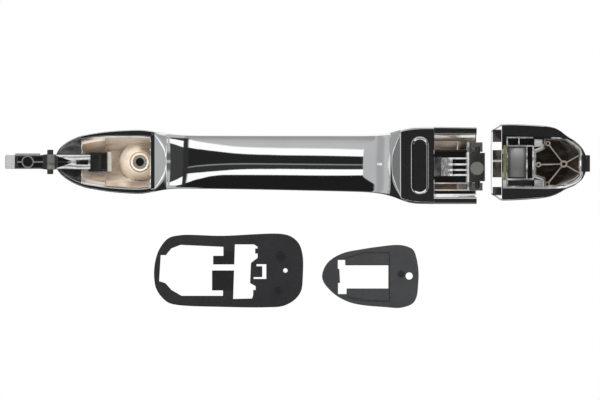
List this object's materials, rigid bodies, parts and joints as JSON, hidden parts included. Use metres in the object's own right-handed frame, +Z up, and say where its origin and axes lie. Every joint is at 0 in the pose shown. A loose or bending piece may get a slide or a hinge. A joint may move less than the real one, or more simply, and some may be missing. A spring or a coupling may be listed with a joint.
{
  "type": "car door handle",
  "caption": "Chrome pull-type exterior car door handle with pivot arm, latch leg with tilting shoe, separate end cap and two rubber base gaskets.",
  "frame": {"origin": "centre of the pivot pin, on its axis; the door skin plane is 6 mm outward of it, at Y = -0.006", "axes": "+Z up along the pivot axis, +X towards the pivot end of the handle, -Y outward (the face seen from outside the car), +Y into the door. Rest is the kit as laid out: the end cap stands 6.7 mm off the handle and the gaskets lie below it."},
  "size_m": [0.2631, 0.0781, 0.0826],
  "materials": {
    "chrome_outer": "polished plating",
    "chrome_inner": "polished plating",
    "cover_black": "gloss",
    "core_cream": "unplated moulding",
    "insert_steel": "turned",
    "arm_dark": "satin",
    "pin_black": "black oxide",
    "pad_grey": "matte",
    "retainer_black": "satin",
    "screw_steel": "zinc",
    "leg_chrome": "polished plating",
    "shoe_black": "satin",
    "button_grey": "matte",
    "cap_core_brown": "satin",
    "cap_frame_chrome": "plating",
    "saddle_grey": "satin",
    "clip_grey": "satin",
    "strip_olive": "matte",
    "tab_black": "satin",
    "gasket_rubber": "matte"
  },
  "bodies": {
    "door_side": {"pivot_pin": "pin_black", "rear_gasket": "gasket_rubber", "front_gasket": "gasket_rubber"},
    "handle": {"outer_shell": "chrome_outer", "grip_inner_shell": "chrome_inner", "rear_oval_cover": "cover_black", "front_foot_core": "core_cream", "boss_insert": "insert_steel", "pivot_arm": "arm_dark", "arm_tip_pad": "pad_grey", "arm_retainer": "retainer_black", "shell_screws": "screw_steel", "rear_foot_core": "core_cream", "latch_leg": "leg_chrome"},
    "shoe": {"leg_shoe": "shoe_black", "shoe_button": "button_grey"},
    "end_cap": {"cap_shell": "chrome_outer", "cap_core": "cap_core_brown", "cap_frame": "cap_frame_chrome", "cap_saddle": "saddle_grey", "cap_clips": "clip_grey", "cap_edge_strip": "strip_olive", "cap_tab": "tab_black"}
  },
  "joints": [
    {"name": "handle_pull", "type": "hinge", "parent": "door_side", "child": "handle", "pos_m": [0, 0, 0], "axis": [0, 0, 1], "range_deg": [0, 9]},
    {"name": "shoe_tilt", "type": "hinge", "parent": "handle", "child": "shoe", "pos_m": [-0.1917, 0.031, 0], "axis": [0, 0, 1], "range_deg": [-8, 8]},
    {"name": "cap_slide", "type": "slide", "parent": "door_side", "child": "end_cap", "axis": [1, 0, 0], "range_m": [-0.012, 0.0064]}
  ]
}
